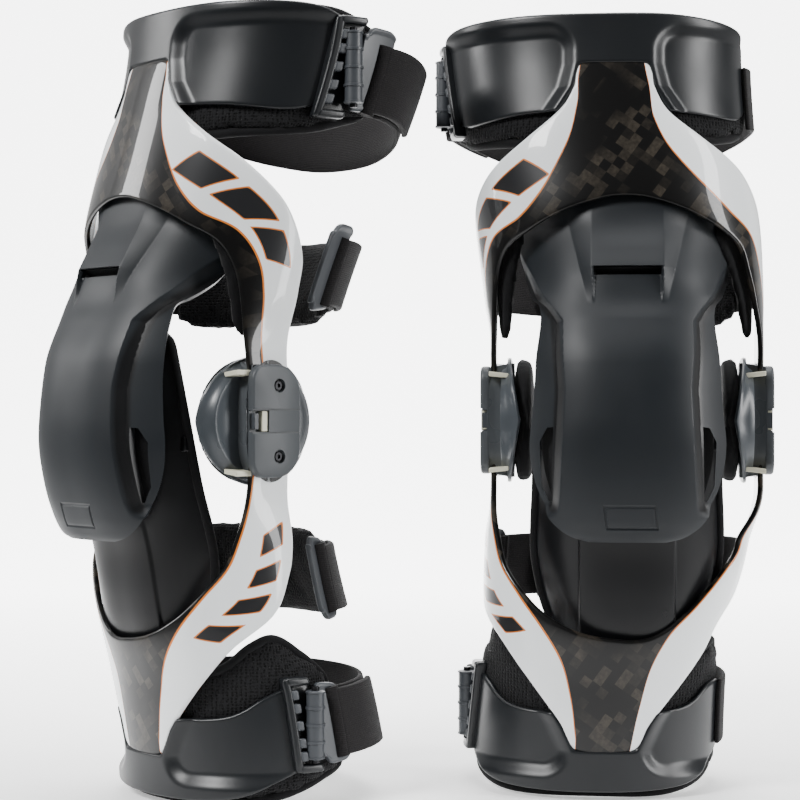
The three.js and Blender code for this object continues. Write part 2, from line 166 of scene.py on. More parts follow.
CHIP = 5.2  # side of one square chip of the carbon
CHIP_TURN = 0.62
CARBON_DARK = (0.0028, 0.0027, 0.0027)
CARBON_LIGHT = (0.06, 0.05, 0.038)
WHITE = (0.89, 0.92, 0.93)
ORANGE = (0.66, 0.19, 0.025)
MARK_GREY = (0.016, 0.0165, 0.018)
CUP_SLATE = (0.0088, 0.0112, 0.014)
# painted shade: near black for the sloping faces beside the cup's crest
FACE_SHADE_BLACK = (0.003, 0.0032, 0.0038)
PALE_YELLOW = (0.7, 0.68, 0.53)
FABRIC_BLACK = (0.004, 0.004, 0.0045)
FABRIC_GLOSS = 0.15

# Studio, in metres.
PAPER = (0.92, 0.92, 0.92)
PAPER_IN_FRONT = (0.12, 0.12, 0.12)  # kept dim, so that the glossy fronts stay dark
SWEEP_RADIUS = 1.5
CAMERA = (-0.0043, -1.121, 0.213)
LENS = 90
LIGHTS = {  # place, target, size and power
    "key": ((-1.3, -1.1, 1.5), (0, 0, 0.22), (0.6, 0.6), 50),
    "side": ((1.5, -0.5, 0.6), (0, 0, 0.2), (0.35, 1.5), 30),
    "rim": ((-1.5, 0.2, 0.8), (0, 0, 0.3), (0.3, 0.7), 11),
    "top": ((0.1, 0.1, 1.9), (0, 0, 0.2), (1.4, 0.8), 36),
    "backdrop": ((0, 1.0, 2.4), (0, 3, 0.8), (3, 1), 80),
}


# ------------------------------ shapes


def linear(low, high, value):
    return np.clip((value - low) / (high - low), 0, 1)


def smoothstep(low, high, value):
    t = linear(low, high, value)
    return t * t * (3 - 2 * t)


def table_at(table, key):
    """Smooth interpolation of every column of a table whose first column rises."""
    keys = table[:, 0]
    key = np.asarray(key, float)
    i = np.clip(np.searchsorted(keys, key, side="right") - 1, 0, len(table) - 2)
    before, after = np.maximum(i - 1, 0), np.minimum(i + 2, len(table) - 1)
    span = (keys[i + 1] - keys[i])[..., None]
    t = ((key - keys[i]) / (keys[i + 1] - keys[i]))[..., None]
    start = (table[i + 1] - table[before]) / (keys[i + 1] - keys[before])[..., None] * span
    end = (table[after] - table[i]) / (keys[after] - keys[i])[..., None] * span
    rise = table[i + 1] - table[i]
    value = table[i] + start * t + (3 * rise - 2 * start - end) * t**2 + (start + end - 2 * rise) * t**3
    return np.moveaxis(value[..., 1:], -1, 0)


def power_curve(value, power):
    return np.sign(value) * np.abs(value) ** power


def leg_point(angle, z, offset):
    """A point at an offset from the leg surface; angle 0 is the front and 90 degrees the outer side."""
    cx, cy, half_width, half_depth = table_at(LEG, z)
    across = power_curve(np.sin(angle), 2 / SECTION_POWER)
    along = power_curve(np.cos(angle), 2 / SECTION_POWER)
    nx = power_curve(across, SECTION_POWER - 1) / half_width
    ny = -power_curve(along, SECTION_POWER - 1) / half_depth
    length = np.hypot(nx, ny)
    x = cx + half_width * across + nx / length * offset
    y = cy - half_depth * along + ny / length * offset
    return np.stack(np.broadcast_arrays(x, y, z), -1)


def around(degrees, z, offset):
    return leg_point(math.radians(degrees), z, offset)


def frame_point(angle, z, offset):
    """As leg_point, but flattened near the hinge into planes square to its axis."""
    point = leg_point(angle, z, offset)
    flat = 1 - smoothstep(PIVOT_RISE + 14, PIVOT_RISE + 46, np.abs(z - HINGE_Z))
    share = (offset - FRAME_SKIN[0]) / (FRAME_SKIN[1] - FRAME_SKIN[0])
    plane = ARM_FACE[0] + (ARM_FACE[1] - ARM_FACE[0]) * share
    point[..., 0] += (np.sign(point[..., 0]) * plane - point[..., 0]) * flat
    return point


def front(x, z):
    """(angle, height) of the point on the front of the leg surface at this x."""
    cx, _, half_width, _ = table_at(LEG, z)
    share = np.clip((x - cx) / half_width, -1, 1)
    return math.asin(power_curve(share, SECTION_POWER / 2)), z


def flank(side, y, z):
    """(angle, height) of the point on one side of the leg surface at this y."""
    _, cy, _, half_depth = table_at(LEG, z)
    return side * math.acos(power_curve((cy - y) / half_depth, SECTION_POWER / 2)), z


def curve_through(points):
    """A Catmull-Rom curve as a function of a position from 0 to 1."""
    p = np.array([tuple(np.ravel(q)) for q in points], float)
    p = np.vstack([2 * p[0] - p[1], p, 2 * p[-1] - p[-2]])

    def at(s):
        k = np.clip(np.asarray(s, float), 0, 1) * (len(p) - 3)
        i = np.minimum(k.astype(int), len(p) - 4)
        t = (k - i)[..., None]
        a, b, c, d = p[i], p[i + 1], p[i + 2], p[i + 3]
        return 0.5 * (2 * b + (c - a) * t + (2 * a - 5 * b + 4 * c - d) * t**2
                      + (3 * b - a - 3 * c + d) * t**3)

    return at


def loft(rings, closed=False):
    """Vertices and faces of a skin through rings of equal length; open lofts get end caps."""
    count, size = rings.shape[:2]
    faces = []
    for i in range(count if closed else count - 1):
        a, b = i * size, (i + 1) % count * size
        faces += [(a + k, b + k, b + (k + 1) % size, a + (k + 1) % size) for k in range(size)]
    if not closed:
        faces.append(tuple(range(size)))
        faces.append(tuple(range(count * size - 1, (count - 1) * size - 1, -1)))
    return outward(rings.reshape(-1, 3), faces)


def outward(points, faces):
    """The same solid with its faces turned outwards."""
    volume = 0.0
    for face in faces:
        a = points[face[0]]
        for k in range(1, len(face) - 1):
            volume += np.dot(a, np.cross(points[face[k]], points[face[k + 1]]))
    return points, faces if volume > 0 else [tuple(reversed(face)) for face in faces]


def strip(edge_a, edge_b, skin, cols, rows, place=leg_point, corner=1.2, relief=None):
    """A plate on the leg surface between two edges, with rounded rims all round.

    relief(degrees, z, s, t) gives how far the outer face stands proud. Returns points, faces and layers:
    flow_u and flow_v in mm along and across the strip, s and t the same from 0 to 1.
    """
    curve_a, curve_b = curve_through(edge_a), curve_through(edge_b)
    inner, outer = skin
    middle = (inner + outer) / 2
    corner = min(corner, (outer - inner) / 2 * 0.96)
    s = np.linspace(0, 1, 200)
    angle, z = np.moveaxis((curve_a(s) + curve_b(s)) / 2, -1, 0)
    length = np.linalg.norm(np.diff(place(angle, z, middle), axis=0), axis=1).sum()
    turn = np.radians([0, 30, 60, 90])
    start = np.stack([corner * (1 - np.cos(turn)) / length, corner * (1 - np.sin(turn))], 1)
    body = np.stack([np.linspace(start[-1, 0], 1 - start[-1, 0], cols + 1)[1:-1], np.zeros(cols - 1)], 1)
    end = start[::-1] * (-1, 1) + (1, 0)
    rings = []
    layers = {"flow_u": [], "flow_v": [], "s": [], "t": []}
    for s, inset in np.vstack([start, body, end]):
        a, b = curve_a(s), curve_b(s)
        width = np.linalg.norm(place(a[0], a[1], middle) - place(b[0], b[1], middle))
        radius = max(min(corner, (outer - inner) / 2 - inset), 0.02)
        low, high, near, far = inner + inset, outer - inset, inset, width - inset
        arc = np.radians([0, 30, 60])
        drop, run = radius * (1 - np.sin(arc)), radius * (1 - np.cos(arc))
        outer_face = np.linspace(near + radius, far - radius, rows + 1)
        inner_face = np.linspace(far - radius, near + radius, max(rows // 2, 1) + 1)
        w = np.concatenate([near + run, outer_face, far - run[::-1], far - run, inner_face, near + run[::-1]])
        h = np.concatenate([high - drop, np.full(rows + 1, high), high - drop[::-1],
                            low + drop, np.full(len(inner_face), low), low + drop[::-1]])
        t = w / width
        at = a + (b - a) * t[:, None]
        if relief is not None:
            h = h + np.where(h > middle, relief(np.degrees(at[:, 0]), at[:, 1], s, t), 0)
        rings.append(place(at[:, 0], at[:, 1], h))
        for layer, value in zip(layers.values(), (s * length, w, s, t)):
            layer.append(np.broadcast_to(value, len(t)))
    points, faces = loft(np.array(rings))
    return points, faces, {name: np.concatenate(v) for name, v in layers.items()}


def band(points, skin, cols, rows, **options):
    """A strip round the leg from (angle in degrees, bottom, top) rows."""
    upper = [(math.radians(a), top) for a, _, top in points]
    lower = [(math.radians(a), bottom) for a, bottom, _ in points]
    return strip(upper, lower, skin, cols, rows, **options)


def front_normals(grid):
    """Unit normals of a grid of points, turned to the front."""
    normal = np.cross(np.gradient(grid, axis=0), np.gradient(grid, axis=1))
    normal /= np.linalg.norm(normal, axis=-1, keepdims=True)
    return -normal if normal[..., 1].mean() > 0 else normal


def shell(grid, thickness):
    """A closed shell whose outer face is a grid of points; its back lies one thickness inside."""
    n, m = grid.shape[:2]
    back = n * m
    points = np.vstack([grid.reshape(-1, 3), (grid - front_normals(grid) * thickness).reshape(-1, 3)])
    faces = []
    for i in range(n - 1):
        for j in range(m - 1):
            a, b, c, d = i * m + j, (i + 1) * m + j, (i + 1) * m + j + 1, i * m + j + 1
            faces.append((a, b, c, d))
            faces.append((back + d, back + c, back + b, back + a))
    rim = [i * m for i in range(n)] + [(n - 1) * m + j for j in range(1, m)]
    rim += [i * m + m - 1 for i in range(n - 2, -1, -1)] + list(range(m - 2, 0, -1))
    for a, b in zip(rim, rim[1:] + rim[:1]):
        faces.append((b, a, back + a, back + b))
    return outward(points, faces)


def tube(path, radius, sides, closed=False):
    """A round tube along a path of points, with flat ends."""
    path = np.asarray(path, float)
    forward = np.roll(path, -1, 0) - np.roll(path, 1, 0) if closed else np.gradient(path, axis=0)
    forward /= np.linalg.norm(forward, axis=1, keepdims=True)
    up = np.cross(forward, (0.31, 0.2, 0.93))
    up /= np.linalg.norm(up, axis=1, keepdims=True)
    side = np.cross(forward, up)
    turn = np.linspace(0, 2 * math.pi, sides, endpoint=False)
    ring = up[:, None] * np.cos(turn)[:, None] + side[:, None] * np.sin(turn)[:, None]
    return loft(path[:, None] + ring * radius, closed)


def outline_loft(outline, levels):
    """A solid from one outline in Y-Z scaled by insets at several x levels: [(x, inset), ...]."""
    outline = np.asarray(outline, float)
    centre = outline.mean(0)
    spoke = outline - centre
    reach = np.linalg.norm(spoke, axis=1, keepdims=True)
    rings = []
    for x, inset in levels:
        ring = centre + spoke * (1 - inset / reach)
        rings.append(np.column_stack([np.full(len(ring), x), ring]))
    return loft(np.array(rings))


def rounded_outline(y0, y1, z0, z1, radii, steps):
    """A rectangle in Y-Z with its own radius at each corner, from (y1, z1) round through (y0, z1)."""
    corners = [(y1, z1, -1, -1, 0), (y0, z1, 1, -1, 90), (y0, z0, 1, 1, 180), (y1, z0, -1, 1, 270)]
    points = []
    for (y, z, sy, sz, angle), radius in zip(corners, radii):
        for step in range(steps):
            turn = math.radians(angle + 90 * step / (steps - 1))
            across = y + sy * radius + radius * math.cos(turn)
            up = z + sz * radius + radius * math.sin(turn)
            points.append((across, up))
    return points


def box(x0, x1, y0, y1, z0, z1):
    rings = [[(x, y0, z0), (x, y1, z0), (x, y1, z1), (x, y0, z1)] for x in (x0, x1)]
    return loft(np.array(rings, float))


def prism(outline, y0, y1):
    """A solid from an outline in X-Z, extruded along Y."""
    rings = [[(x, y, z) for x, z in outline] for y in (y0, y1)]
    return loft(np.array(rings, float))


def lathe(profile, z, y=0.0, steps=48):
    """A solid of revolution about a line along X; the profile is a closed list of (radius, x)."""
    turn = np.linspace(0, 2 * math.pi, steps, endpoint=False)
    rings = [[(x, y + r * math.sin(a), z + r * math.cos(a)) for r, x in profile] for a in turn]
    return loft(np.array(rings, float), closed=True)


def merged(*solids):
    """Several solids as one piece of several shells."""
    points, faces, start = [], [], 0
    for solid in solids:
        points.append(solid[0])
        faces += [tuple(start + k for k in face) for face in solid[1]]
        start += len(solid[0])
    return np.vstack(points), faces


def mirrored(solid):
    points = solid[0] * (-1, 1, 1)
    return (points, [tuple(reversed(face)) for face in solid[1]], *solid[2:])


# ------------------------------ pieces on both guards

JOINTS = {joint["name"]: joint for joint in frame["joints"]}


def placement(side):
    """Matrix from a drawn guard, in mm, to its place in the row frame, in metres."""
    joint = JOINTS[f"{side}_lower_knee_pivot"]
    across = -Vector(joint["axis"])
    back = Vector((0, 0, 1)).cross(across)
    outer = across if side == "left" else -across
    matrix = Matrix((outer, back, (0, 0, 1))).transposed().to_4x4() @ Matrix.Scale(MM, 4)
    matrix.translation = (joint["pos_m"][0], joint["pos_m"][1], 0)
    return matrix


PLACES = {side: placement(side) for side in SIDES}


def mesh_from(name, points, faces):
    mesh = bpy.data.meshes.new(name)
    mesh.from_pydata(np.asarray(points).tolist(), [], faces)
    mesh.update()
    return mesh


def arrays_from(mesh):
    return np.array([v.co for v in mesh.vertices], float), [tuple(face.vertices) for face in mesh.polygons]


def linked(name, data):
    """A new object in the scene."""
    item = bpy.data.objects.new(name, data)
    bpy.context.scene.collection.objects.link(item)
    return item


def evaluated(item):
    return item.evaluated_get(bpy.context.evaluated_depsgraph_get())


def add_layers(mesh, local, layers):
    """Stores where each point is on the drawn guard, and any other value the materials read."""
    attribute = mesh.attributes.new("local", "FLOAT_VECTOR", "POINT")
    attribute.data.foreach_set("vector", local.astype(np.float32).ravel())
    for name, values in layers.items():
        mesh.attributes.new(name, "FLOAT", "POINT").data.foreach_set("value", values.astype(np.float32))


def place_on(name, solid, finish, body, slot, stands_for=(), sharp=40, bevel=0):
    """Makes the left and the right piece from one solid, riding on each guard's own body if one is given."""
    points, faces = solid[:2]
    layers = solid[2] if len(solid) > 2 else {}
    made = []
    for side in SIDES:
        matrix = np.array(PLACES[side])
        world = points @ matrix[:3, :3].T + matrix[:3, 3]
        turned = faces if side == "left" else [tuple(reversed(face)) for face in faces]
        mesh = mesh_from(f"{side}_{name}", world, turned)
        add_layers(mesh, points, layers)
        mesh.materials.append(FINISHES[finish])
        mesh.shade_smooth()
        mesh.set_sharp_from_angle(angle=math.radians(sharp))
        piece = linked(f"{side}_{name}", mesh)
        if bevel:
            rounding = piece.modifiers.new("rounding", "BEVEL")
            rounding.width = bevel * MM
            rounding.segments = 2
            rounding.limit_method = "ANGLE"
            rounding.angle_limit = math.radians(50)
        if body:
            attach(piece, f"{side}_{body}")
        for node in stands_for:
            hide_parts(f"{side}_{node}")
        made.append(piece)
    return made


def carved(solid, cutters):
    """The solid with every cutter taken away, as points and faces again."""
    target = linked("carved", mesh_from("carved", *solid[:2]))
    tool = linked("cutter", mesh_from("cutter", *merged(*cutters)))
    cut = target.modifiers.new("cut", "BOOLEAN")
    cut.object = tool
    cut.operation = "DIFFERENCE"
    cut.solver = "EXACT"
    cut.use_self = True
    result = arrays_from(evaluated(target).to_mesh())
    for item in (target, tool):
        mesh = item.data
        bpy.data.objects.remove(item)
        bpy.data.meshes.remove(mesh)
    return result


def inflated(solid, voxel, pressure, cap):
    """The solid blown up a little by cloth pressure; each point moves at most cap mm."""
    item = linked("form", mesh_from("form", solid[0] * MM, solid[1]))
    remesh = item.modifiers.new("remesh", "REMESH")
    remesh.mode = "VOXEL"
    remesh.voxel_size = voxel * MM
    even = bpy.data.meshes.new_from_object(evaluated(item))
    item.modifiers.clear()
    item.data = even
    before, _ = arrays_from(even)
    cloth = item.modifiers.new("cloth", "CLOTH")
    cloth.settings.use_pressure = True
    cloth.settings.uniform_pressure_force = pressure
    cloth.settings.effector_weights.gravity = 0
    cloth.settings.quality = 5
    cloth.point_cache.frame_start = 1
    cloth.point_cache.frame_end = SIM_FRAMES
    for step in range(1, SIM_FRAMES + 1):
        bpy.context.scene.frame_set(step)
    after, faces = arrays_from(evaluated(item).to_mesh())
    bpy.context.scene.frame_set(1)
    shift = after - before
    reach = np.linalg.norm(shift, axis=1, keepdims=True)
    shift *= np.minimum(1, cap * MM / np.maximum(reach, 1e-9))
    bpy.data.objects.remove(item)
    return (before + shift) / MM, faces


# ------------------------------ materials


class Finish:
    """A node material with one Principled surface, built up by small steps."""

    def __init__(self, name, color, roughness, **inputs):
        self.material = bpy.data.materials.new(name)
        self.material.use_nodes = True
        self.nodes = self.material.node_tree.nodes
        self.surface = self.nodes["Principled BSDF"]
        self.surface.inputs["Base Color"].default_value = (*color, 1)
        self.surface.inputs["Roughness"].default_value = roughness
        for key, value in inputs.items():
            self.surface.inputs[key.replace("_", " ").title().replace("Ior", "IOR")].default_value = value

    def add(self, kind, values=None, **settings):
        node = self.nodes.new("ShaderNode" + kind)
        for key, value in settings.items():
            setattr(node, key, value)
        for key, value in (values or {}).items():
            self.feed(node.inputs[key], value)
        return node

    def feed(self, socket, value):
        if isinstance(value, bpy.types.NodeSocket):
            self.material.node_tree.links.new(value, socket)
        else:
            socket.default_value = value

    def layer(self, name, output="Fac"):
        return self.add("Attribute", attribute_name=name).outputs[output]

    def place(self, scale=1.0, on_cad=False):
        """Millimetres on the drawn guard, or on a CAD node its own coordinates in millimetres."""
        if on_cad:
            scale *= 1000
            vector = self.add("TexCoord").outputs["Object"]
        else:
            vector = self.layer("local", "Vector")
        return self.add("VectorMath", {0: vector, 1: (scale,) * 3}, operation="MULTIPLY").outputs[0]

    def math(self, operation, a, b=0.0):
        return self.add("Math", {0: a, 1: b}, operation=operation).outputs[0]

    def times(self, a, b):
        return self.math("MULTIPLY", a, b)

    def noise(self, vector, scale, detail=3.0):
        return self.add("TexNoise", {"Vector": vector, "Scale": scale, "Detail": detail}).outputs["Fac"]

    def spread(self, value, low, high, to_low=0.0, to_high=1.0):
        inputs = {"Value": value, "From Min": low, "From Max": high, "To Min": to_low, "To Max": to_high}
        return self.add("MapRange", inputs).outputs["Result"]

    def mix(self, share, a, b):
        a = a if isinstance(a, bpy.types.NodeSocket) else (*a, 1)
        b = b if isinstance(b, bpy.types.NodeSocket) else (*b, 1)
        node = self.add("Mix", data_type="RGBA")
        for index, value in ((0, share), (6, a), (7, b)):
            self.feed(node.inputs[index], value)
        return node.outputs[2]

    def color(self, value):
        self.feed(self.surface.inputs["Base Color"], value)

    def rough(self, value):
        self.feed(self.surface.inputs["Roughness"], value)

    def bump(self, height, depth):
        """Relief whose full height is depth millimetres."""
        node = self.add("Bump", {"Height": height, "Distance": depth * MM})
        self.feed(self.surface.inputs["Normal"], node.outputs["Normal"])


def moulded(name, color, roughness, grain=0.03, on_cad=False, **inputs):
    """Moulded plastic: a fine spark-eroded grain and a slightly uneven sheen."""
    finish = Finish(name, color, roughness, **inputs)
    grain_height = finish.noise(finish.place(on_cad=on_cad), 2.2, 4.0)
    cloud = finish.noise(finish.place(on_cad=on_cad), 0.03, 2.0)
    finish.rough(finish.spread(cloud, 0.3, 0.7, roughness * 0.9, roughness * 1.12))
    finish.color(finish.mix(finish.spread(cloud, 0.3, 0.7, 0.0, 0.25), color, tuple(c * 0.8 for c in color)))
    finish.bump(grain_height, grain)
    return finish.material


def painted_carbon():
    """Clear-coated chopped carbon, with the white side band and its orange line drawn by the layer band."""
    finish = Finish("carbon", (0.01, 0.01, 0.01), 0.35, specular_ior_level=0.2, coat_weight=1.0,
                    coat_roughness=0.03, coat_ior=1.33)
    turned = finish.add("VectorRotate", {"Vector": finish.place(1 / CHIP), "Angle": CHIP_TURN},
                        rotation_type="Y_AXIS").outputs[0]
    split = finish.add("SeparateXYZ", {0: turned})
    across_chip = finish.math("FLOOR", split.outputs["X"])
    up_chip = finish.math("FLOOR", split.outputs["Z"])
    cell = finish.add("CombineXYZ", {0: across_chip, 1: up_chip}).outputs[0]
    tone = finish.add("TexWhiteNoise", {"Vector": cell}, noise_dimensions="2D").outputs["Value"]
    patches = finish.spread(finish.noise(finish.place(), 0.03, 1.0), 0.38, 0.56)
    ply = finish.noise(finish.place(), 0.5, 2.0)
    shade = finish.times(finish.spread(tone, 0.5, 0.9), finish.times(patches, ply))
    carbon = finish.mix(shade, CARBON_DARK, CARBON_LIGHT)
    across = finish.layer("band")
    mark = finish.layer("mark")
    side = finish.mix(finish.spread(mark, -0.75, -0.65), MARK_GREY, ORANGE)
    side = finish.mix(finish.spread(mark, -0.05, 0.05), side, WHITE)
    line = finish.mix(finish.spread(across, -0.6, -0.5), side, ORANGE)
    finish.color(finish.mix(finish.spread(across, 0.5, 0.6), line, carbon))
    return finish.material


def elastic_webbing():
    """Ribbed elastic: fine ribs along its length, crossed by the weft."""
    finish = Finish("elastic", (0.012, 0.011, 0.012), 0.9, sheen_weight=0.06, specular_ior_level=FABRIC_GLOSS)
    u, v = finish.layer("flow_u"), finish.layer("flow_v")
    ribs = finish.math("SINE", finish.times(v, 2 * math.pi / 1.1))
    weft = finish.math("SINE", finish.times(u, 2 * math.pi / 0.8))
    fuzz = finish.noise(finish.place(), 1.5, 5.0)
    height = finish.spread(finish.math("ADD", ribs, finish.times(weft, 0.6)), -1.6, 1.6)
    height = finish.math("ADD", finish.times(height, 0.35), fuzz)
    finish.color(finish.mix(finish.spread(height, 0.4, 1.0), (0.006, 0.0055, 0.006), (0.019, 0.0175, 0.018)))
    finish.bump(height, 0.3)
    return finish.material


def spacer_mesh():
    """Open spacer fabric: small round cells in a black knit."""
    finish = Finish("spacer_mesh", (0.006, 0.006, 0.0065), 0.85, sheen_weight=0.04,
                    specular_ior_level=FABRIC_GLOSS)
    cells = finish.add("TexVoronoi", {"Vector": finish.place(), "Scale": 0.6, "Randomness": 0.4})
    hole = finish.spread(cells.outputs["Distance"], 0.2, 0.55)
    finish.color(finish.mix(hole, (0.0015, 0.0015, 0.0015), (0.011, 0.011, 0.012)))
    finish.bump(hole, 0.6)
    return finish.material


def soft_cloth(name, color):
    """Plain knitted lining or binding tape over foam."""
    finish = Finish(name, color, 0.85, sheen_weight=0.05, specular_ior_level=FABRIC_GLOSS)
    knit = finish.noise(finish.place(), 1.6, 5.0)
    slow = finish.noise(finish.place(), 0.06)
    finish.color(finish.mix(finish.spread(slow, 0.3, 0.7), color, tuple(c * 1.7 for c in color)))
    finish.bump(knit, 0.25)
    return finish.material


def cup_moulding():
    """Satin slate moulding; the sloping faces beside its crest are a little glossier and carry painted shade,
    darkened towards near black.
    """
    finish = Finish("cup", CUP_SLATE, 0.48, specular_ior_level=0.36)
    face = finish.layer("face")
    cloud = finish.spread(finish.noise(finish.place(), 0.03, 2.0), 0.3, 0.7, 0.44, 0.54)
    finish.rough(finish.math("SUBTRACT", cloud, finish.times(face, 0.1)))
    # painted shade: the sloping faces beside the crest are darkened towards near black
    finish.color(finish.mix(face, CUP_SLATE, FACE_SHADE_BLACK))
    finish.bump(finish.noise(finish.place(), 2.2, 4.0), 0.02)
    return finish.material


def brushed_steel():
    finish = Finish("steel", (0.5, 0.51, 0.53), 0.32, metallic=1.0)
    streaks = finish.noise(finish.place(on_cad=True), 0.9, 6.0)
    finish.rough(finish.spread(streaks, 0.3, 0.7, 0.25, 0.42))
    return finish.material


FINISHES = {
    "carbon": painted_carbon(),
    "cuff": moulded("cuff", (0.0095, 0.0108, 0.0125), 0.32, specular_ior_level=0.4),
    "cup": cup_moulding(),
    "plate": moulded("plate", (0.0045, 0.0047, 0.0055), 0.3, 0.015, specular_ior_level=0.3),
    "cover": moulded("cover", (0.062, 0.068, 0.074), 0.4, 0.02, specular_ior_level=0.35),
    "shell": moulded("shell", (0.05, 0.058, 0.066), 0.3, 0.015),
    "clip": moulded("clip", (0.042, 0.047, 0.054), 0.42, 0.03),
    "wall": moulded("hinge_wall", (0.07, 0.077, 0.083), 0.28, 0.01),
    "screw": moulded("screw", (0.02, 0.02, 0.022), 0.35, 0.01, metallic=0.8),
    "insert": moulded("insert", PALE_YELLOW, 0.45, 0.02),
    "cad_insert": moulded("cad_insert", PALE_YELLOW, 0.45, 0.02, on_cad=True),
    "steel": brushed_steel(),
    "elastic": elastic_webbing(),
    "mesh": spacer_mesh(),
    "binding": soft_cloth("binding", FABRIC_BLACK),
    "foam": soft_cloth("foam_cover", FABRIC_BLACK),
}

# ------------------------------ frames


def frame_edge(outer_arm, bridge, inner_arm):
    """An edge from the outer hinge round the front to the inner hinge; arms are (y, z), the bridge (x, z)."""
    points = [flank(1, y, z) for y, z in outer_arm]
    points += [front(x, z) for x, z in bridge]
    return points + [flank(-1, y, z) for y, z in reversed(inner_arm)]


THIGH_REAR = frame_edge(
    [(12.5, 222), (12, 243), (16, 270), (16, 292), (5, 314)],
    [(74, 334), (55, 352), (36, 368), (28, 381), (25, 393), (7, 394.5), (-11, 393), (-14, 381), (-22, 367),
     (-40, 353), (-60, 336)],
    [(12.5, 222), (12, 243), (16, 270), (15, 292), (8, 314)],
)
THIGH_INNER = frame_edge(
    [(-12.5, 222), (-15.5, 243), (-17, 266), (-20, 282)],
    [(62, 295), (50, 304), (38, 311), (26, 316), (16, 319), (9, 320.5), (1, 321), (-7, 320.5), (-14, 319),
     (-24, 316), (-36, 311), (-48, 304), (-58, 295)],
    [(-12.5, 222), (-15.5, 243), (-17, 266), (-20, 282)],
)
SHIN_REAR = frame_edge(
    [(12.5, 182), (12, 162), (13, 140), (9, 119), (0, 101)],
    [(66, 84), (55, 68), (44, 53), (35, 40), (28, 27), (12, 24.5), (-4, 27), (-10, 38), (-19, 50), (-29, 63),
     (-39, 78), (-47, 94)],
    [(12.5, 182), (12, 162), (12, 140), (6, 116)],
)
SHIN_INNER = frame_edge(
    [(-12.5, 182), (-14.5, 162), (-19, 142)],
    [(64, 126), (56, 113), (46, 102), (36, 95), (25, 90), (14, 87.5), (5, 86.5), (-2, 86), (-10, 87),
     (-17, 90), (-24, 95), (-33, 103), (-42, 113), (-50, 123), (-56, 132)],
    [(-12.5, 182), (-14.5, 162), (-19, 144)],
)

# The orange line between the edges: position along them in points, share of the way from rear to inner edge.
THIGH_LINE = np.array([
    (0, 0.62), (2, 0.62), (4, 0.70), (5, 0.78), (6, 0.66), (7, 0.40), (8, 0.17), (8.9, 0.05), (9.2, -0.05),
    (10.7, -0.05), (10.95, 0.1), (11.4, 0.24), (12, 0.30), (13, 0.42), (14, 0.58), (15, 0.70), (16, 0.66),
    (17, 0.62), (20, 0.62),
])
SHIN_LINE = np.array([
    (0, 0.88), (2, 0.93), (4, 0.94), (5, 0.87), (6, 0.74), (7, 0.56), (8, 0.3), (8.9, 0.1), (9.2, -0.05),
    (10.7, -0.05), (10.85, 0.25), (11.2, 0.55), (11.6, 0.70), (12.7, 0.9), (14, 0.95), (17, 0.95), (20, 0.88),
])


def slanted_bars(layers, marks):
    """Signed distance in mm from the edge of the nearest bar, below 0 inside one."""
    u, v, t = layers["flow_u"], layers["flow_v"], layers["t"]
    width = v / np.maximum(t, 1e-6)
    low, high = MARK_SPAN[0] * width, MARK_SPAN[1] * width
    nearest = np.full(len(u), 99.0)
    for centre, half in marks:
        lean = MARK_SLANT * (v - (low + high) / 2)
        distance = np.maximum.reduce([np.abs(u - centre - lean) - half, low - v, v - high])
        nearest = np.minimum(nearest, distance)
    return nearest


def painted_frame(rear, inner, line, marks):
    """A crowned frame with the layers that its paint is drawn by."""
    def crown(_degrees, _z, _s, t):
        return 0.9 * (1 - (2 * t - 1) ** 4) - 0.9

    points, faces, layers = strip(rear, inner, FRAME_SKIN, 320, 56, frame_point, 1.5, crown)
    width = layers["flow_v"] / np.maximum(layers["t"], 1e-6)
    share = table_at(line, layers["s"] * (len(rear) - 1))[0]
    layers["band"] = (layers["t"] - share) * width
    layers["mark"] = slanted_bars(layers, marks)
    return points, faces, layers


def arm_end(z):
    """The ring at the end of an arm, round the pivot."""
    hole, tip, edge = 5.3, 12.5, 0.5
    low, high = ARM_FACE
    profile = [(hole, low), (hole, high - edge), (hole + edge, high), (tip - edge, high), (tip, high - edge),
               (tip, low + edge), (tip - edge, low)]
    return lathe(profile, z)


def frames():
    thigh = painted_frame(THIGH_REAR, THIGH_INNER, THIGH_LINE, THIGH_MARKS)
    shin = painted_frame(SHIN_REAR, SHIN_INNER, SHIN_LINE, SHIN_MARKS)
    for body, solid in (("thigh", thigh), ("shin", shin)):
        place_on(f"{body}_shell", solid, "carbon", body, "carbon", [f"{body}_frame"], 50)
    for body, rise in (("thigh", PIVOT_RISE), ("shin", -PIVOT_RISE)):
        end = arm_end(HINGE_Z + rise)
        for name, ring in (("outer", end), ("inner", mirrored(end))):
            place_on(f"{body}_arm_end_{name}", ring, "plate", body, "carbon")


# ------------------------------ cuffs and liners


def panel_relief(tongue, limit, outside, radius=16, bevel=9):
    """Raised bridge and rim, sloping down to a recessed panel on each wing; flat under the frame's tongue."""
    middle, heights, halves = tongue
    order = slice(None, None, -outside)

    def relief(degrees, z, _s, _t):
        across = np.abs(leg_point(np.radians(degrees), z, 0)[..., 0] - middle)
        half = np.interp(z, heights[order], halves[order])
        a, b = radius - (across - half - 1), radius - (limit - z) * outside
        inside = np.hypot(np.maximum(a, 0), np.maximum(b, 0)) + np.minimum(np.maximum(a, b), 0)
        raised = 1 - smoothstep(0, bevel, radius - inside)
        beyond_tongue = smoothstep(-1.6, 1.0, (z - heights[0]) * outside)
        under = (1 - smoothstep(-2.4, 0.8, across - half)) * (1 - beyond_tongue)
        return CUFF_RAISE * raised * (1 - under)

    return relief


